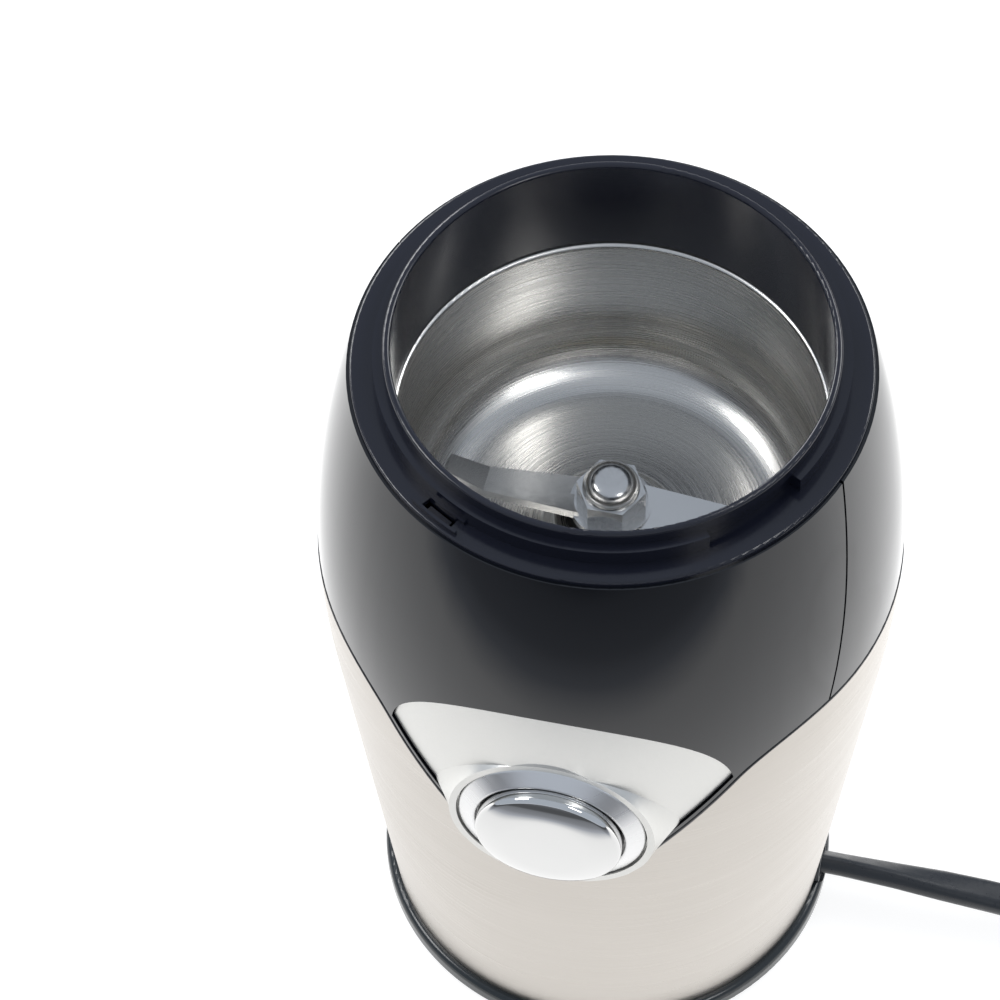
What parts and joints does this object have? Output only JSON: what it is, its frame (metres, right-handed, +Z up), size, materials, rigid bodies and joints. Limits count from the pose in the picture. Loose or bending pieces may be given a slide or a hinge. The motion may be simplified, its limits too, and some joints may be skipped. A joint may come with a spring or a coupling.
{
  "type": "electric blade coffee grinder",
  "caption": "Upright electric blade coffee grinder, lid off: barrel body of brushed steel and gloss black, front push button, steel grinding bowl with blade, motor, and mains cord with plug.",
  "frame": {"origin": "on the floor under the barrel's axis", "axes": "+Z up along the barrel's axis, the button faces -Y, the cord leaves towards +X"},
  "size_m": [0.2441, 0.1009, 0.1472],
  "materials": {
    "brushed_steel": "brushed, satin",
    "gloss_black": "high gloss",
    "matt_black": "fine matt",
    "silver_plate": "satin silver",
    "chrome": "polished",
    "steel_bowl": "turned, satin",
    "steel": "plain",
    "rubber": "matt",
    "cord_black": "satin",
    "inner_plastic": "moulded",
    "laminated_iron": "laminated",
    "copper": "enamelled wire",
    "bronze": "sintered",
    "carbon": "pressed",
    "brass": "plated"
  },
  "bodies": {
    "housing": {"steel_body": "brushed_steel", "upper_housing_front": "gloss_black", "upper_housing_rear": "gloss_black", "switch_panel": "silver_plate", "button_bezel": "chrome", "button_spring": "steel", "switch_carrier": "inner_plastic", "carrier_screws": "steel", "power_switch": "matt_black", "collar_ring": "matt_black", "bowl_gasket": "rubber", "grinding_bowl": "steel_bowl", "inner_chassis": "inner_plastic", "chassis_screws": "steel", "interlock_switch": "matt_black", "interlock_spring": "steel", "shaft_seal": "rubber", "field_coils": "copper", "stator_core": "laminated_iron", "upper_bracket": "steel", "upper_bearing": "bronze", "lower_bracket": "steel", "lower_bearing": "bronze", "brush_holders": "brass", "carbon_brushes": "carbon", "motor_dampers": "rubber", "motor_screws": "steel", "base_ring": "matt_black", "base_plate": "matt_black", "rubber_feet": "rubber", "base_screws": "steel", "cord_grommet": "rubber", "cord_clamp": "inner_plastic", "clamp_screws": "steel", "cord_lead": "cord_black", "cord_coil": "cord_black", "cord_tail": "cord_black", "cord_tie": "cord_black", "mains_plug": "matt_black", "plug_pins": "brass"},
    "button": {"power_button": "chrome"},
    "plunger": {"switch_plunger": "inner_plastic"},
    "spindle": {"blade": "steel", "blade_nut": "steel", "blade_spacer": "brass", "drive_shaft": "steel", "armature_core": "laminated_iron", "armature_windings": "copper", "commutator": "copper"},
    "interlock": {"interlock_pin": "matt_black"}
  },
  "joints": [
    {"name": "button_press", "type": "slide", "parent": "housing", "child": "button", "axis": [0, 1, 0], "range_m": [0, 0.002], "stiffness_N_per_m": 900, "springref_m": -0.002, "deforming": ["button_spring"]},
    {"name": "switch_plunger_slide", "type": "slide", "parent": "housing", "child": "plunger", "axis": [0, 1, 0], "range_m": [0, 0.002]},
    {"name": "blade_spin", "type": "hinge", "parent": "housing", "child": "spindle", "pos_m": [0, 0, 0.1], "axis": [0, 0, 1], "continuous": true},
    {"name": "interlock_press", "type": "slide", "parent": "housing", "child": "interlock", "axis": [0, 0, -1], "range_m": [0, 0.003], "stiffness_N_per_m": 200, "springref_m": -0.003, "deforming": ["interlock_spring"]}
  ],
  "couplings": [
    {"joint": "switch_plunger_slide", "follows": "button_press", "ratio": 1}
  ]
}
